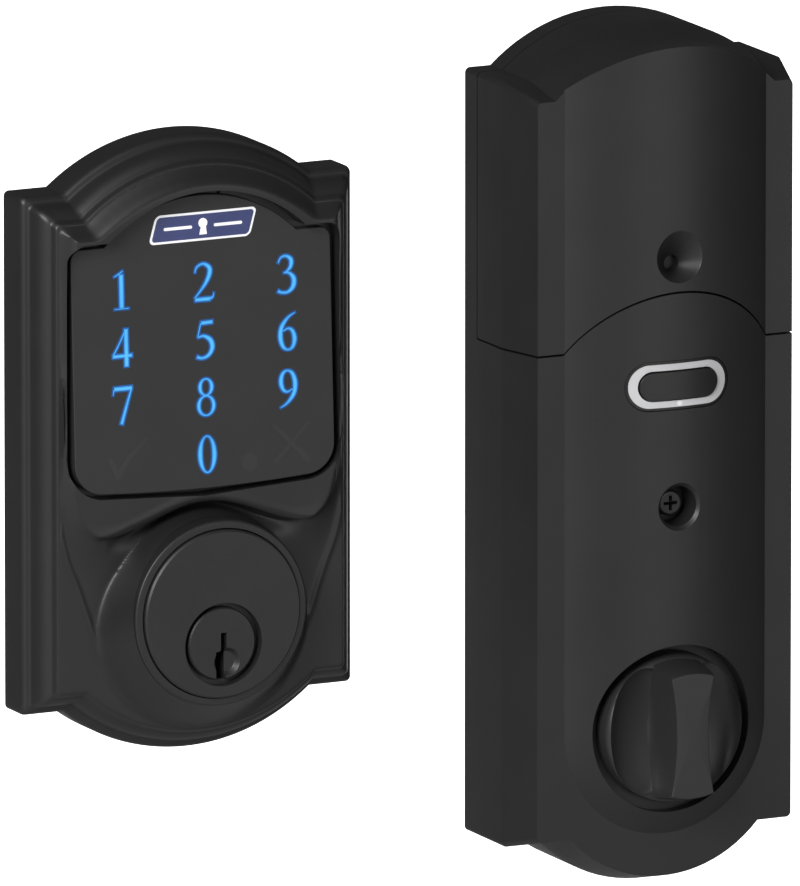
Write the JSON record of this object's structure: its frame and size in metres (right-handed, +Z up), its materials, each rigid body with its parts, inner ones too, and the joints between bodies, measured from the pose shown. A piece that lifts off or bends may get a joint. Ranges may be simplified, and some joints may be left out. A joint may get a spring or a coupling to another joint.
{
  "type": "keypad smart lock",
  "caption": "Touchscreen keypad deadbolt lock: outside half with lit numbers and key cylinder, inside half with battery cover, button and thumbturn, set side by side",
  "frame": {"origin": "centre of the outside half's bore collar, on the door face", "axes": "+X right along the door, +Y into the door, +Z up; both fronts face -Y"},
  "size_m": [0.1843, 0.1035, 0.1972],
  "materials": {
    "black_metal": "satin black paint on cast zinc",
    "cylinder_face": "satin black plating on a turned brass cylinder",
    "touch_lens": "matte dark grey touch panel",
    "light_guide": "milky light-spreading plastic",
    "lamp": "white lamp",
    "button_black": "smooth black plastic",
    "steel": "zinc-plated steel",
    "black_steel": "black oxide on a steel screw",
    "brass": "turned brass",
    "gasket": "closed-cell foam rubber",
    "board": "green circuit board",
    "chip": "black moulded component",
    "gear_plastic": "natural acetal",
    "chassis_plastic": "black moulded nylon",
    "battery": "dark printed sleeve, plain"
  },
  "bodies": {
    "lock_body": {"escutcheon": "black_metal", "inside_housing": "black_metal", "cylinder_guard_ring": "black_metal", "cylinder_body": "cylinder_face", "touchscreen_lens": "touch_lens", "key_light_guide": "light_guide", "button_light_ring": "light_guide", "keypad_lamps": "lamp", "status_lamp": "lamp", "button_frame": "button_black", "escutcheon_backplate": "steel", "support_plate": "steel", "mounting_posts": "steel", "through_bolts": "steel", "backplate_screws": "steel", "cylinder_screws": "steel", "keypad_board_screws": "steel", "chassis_screws": "steel", "bracket_screws": "steel", "board_screws": "steel", "motor_bracket": "steel", "pin_springs": "steel", "battery_contacts": "steel", "gear_motor": "steel", "radio_module": "steel", "housing_screw": "black_steel", "driver_pins": "brass", "pin_chamber_cover": "brass", "turn_bushing": "brass", "door_gasket": "gasket", "keypad_circuit_board": "board", "main_circuit_board": "board", "position_sensor": "board", "keypad_controller": "chip", "main_processor": "chip", "keypad_beeper": "chip", "keypad_cable_socket": "chip", "board_cable_socket": "chip", "tactile_switch": "chip", "gear_chassis": "chassis_plastic", "battery_tray": "chassis_plastic", "battery_cells": "battery"},
    "key_plug": {"cylinder_plug": "cylinder_face", "plug_cap": "brass", "tailpiece": "steel", "key_pins": "brass"},
    "turn": {"thumbturn": "black_metal", "turn_spindle": "steel", "spindle_clip": "steel", "hub_gear": "gear_plastic", "position_magnet": "chip"},
    "motor_rotor": {"motor_pinion": "gear_plastic", "motor_shaft": "steel"},
    "button": {"button_cap": "button_black"},
    "cover": {"battery_cover": "black_metal", "alarm_sounder": "chip"}
  },
  "joints": [
    {"name": "plug_turn", "type": "hinge", "parent": "lock_body", "child": "key_plug", "pos_m": [0, 0, -0.0069], "axis": [0, 1, 0], "range_deg": [-90, 90]},
    {"name": "thumbturn_turn", "type": "hinge", "parent": "lock_body", "child": "turn", "pos_m": [0.1084, 0, -0.035], "axis": [0, 1, 0], "range_deg": [-90, 90]},
    {"name": "motor_spin", "type": "hinge", "parent": "lock_body", "child": "motor_rotor", "pos_m": [0.1084, 0, -0.0061], "axis": [0, 1, 0], "range_deg": [-275, 275]},
    {"name": "button_press", "type": "slide", "parent": "lock_body", "child": "button", "axis": [0, 1, 0], "range_m": [0, 0.0006], "stiffness_N_per_m": 900, "springref_m": -0.001},
    {"name": "battery_cover_slide", "type": "slide", "parent": "lock_body", "child": "cover", "axis": [0, 0, 1], "range_m": [0, 0.08]}
  ],
  "couplings": [
    {"joint": "motor_spin", "follows": "thumbturn_turn", "ratio": -3}
  ]
}
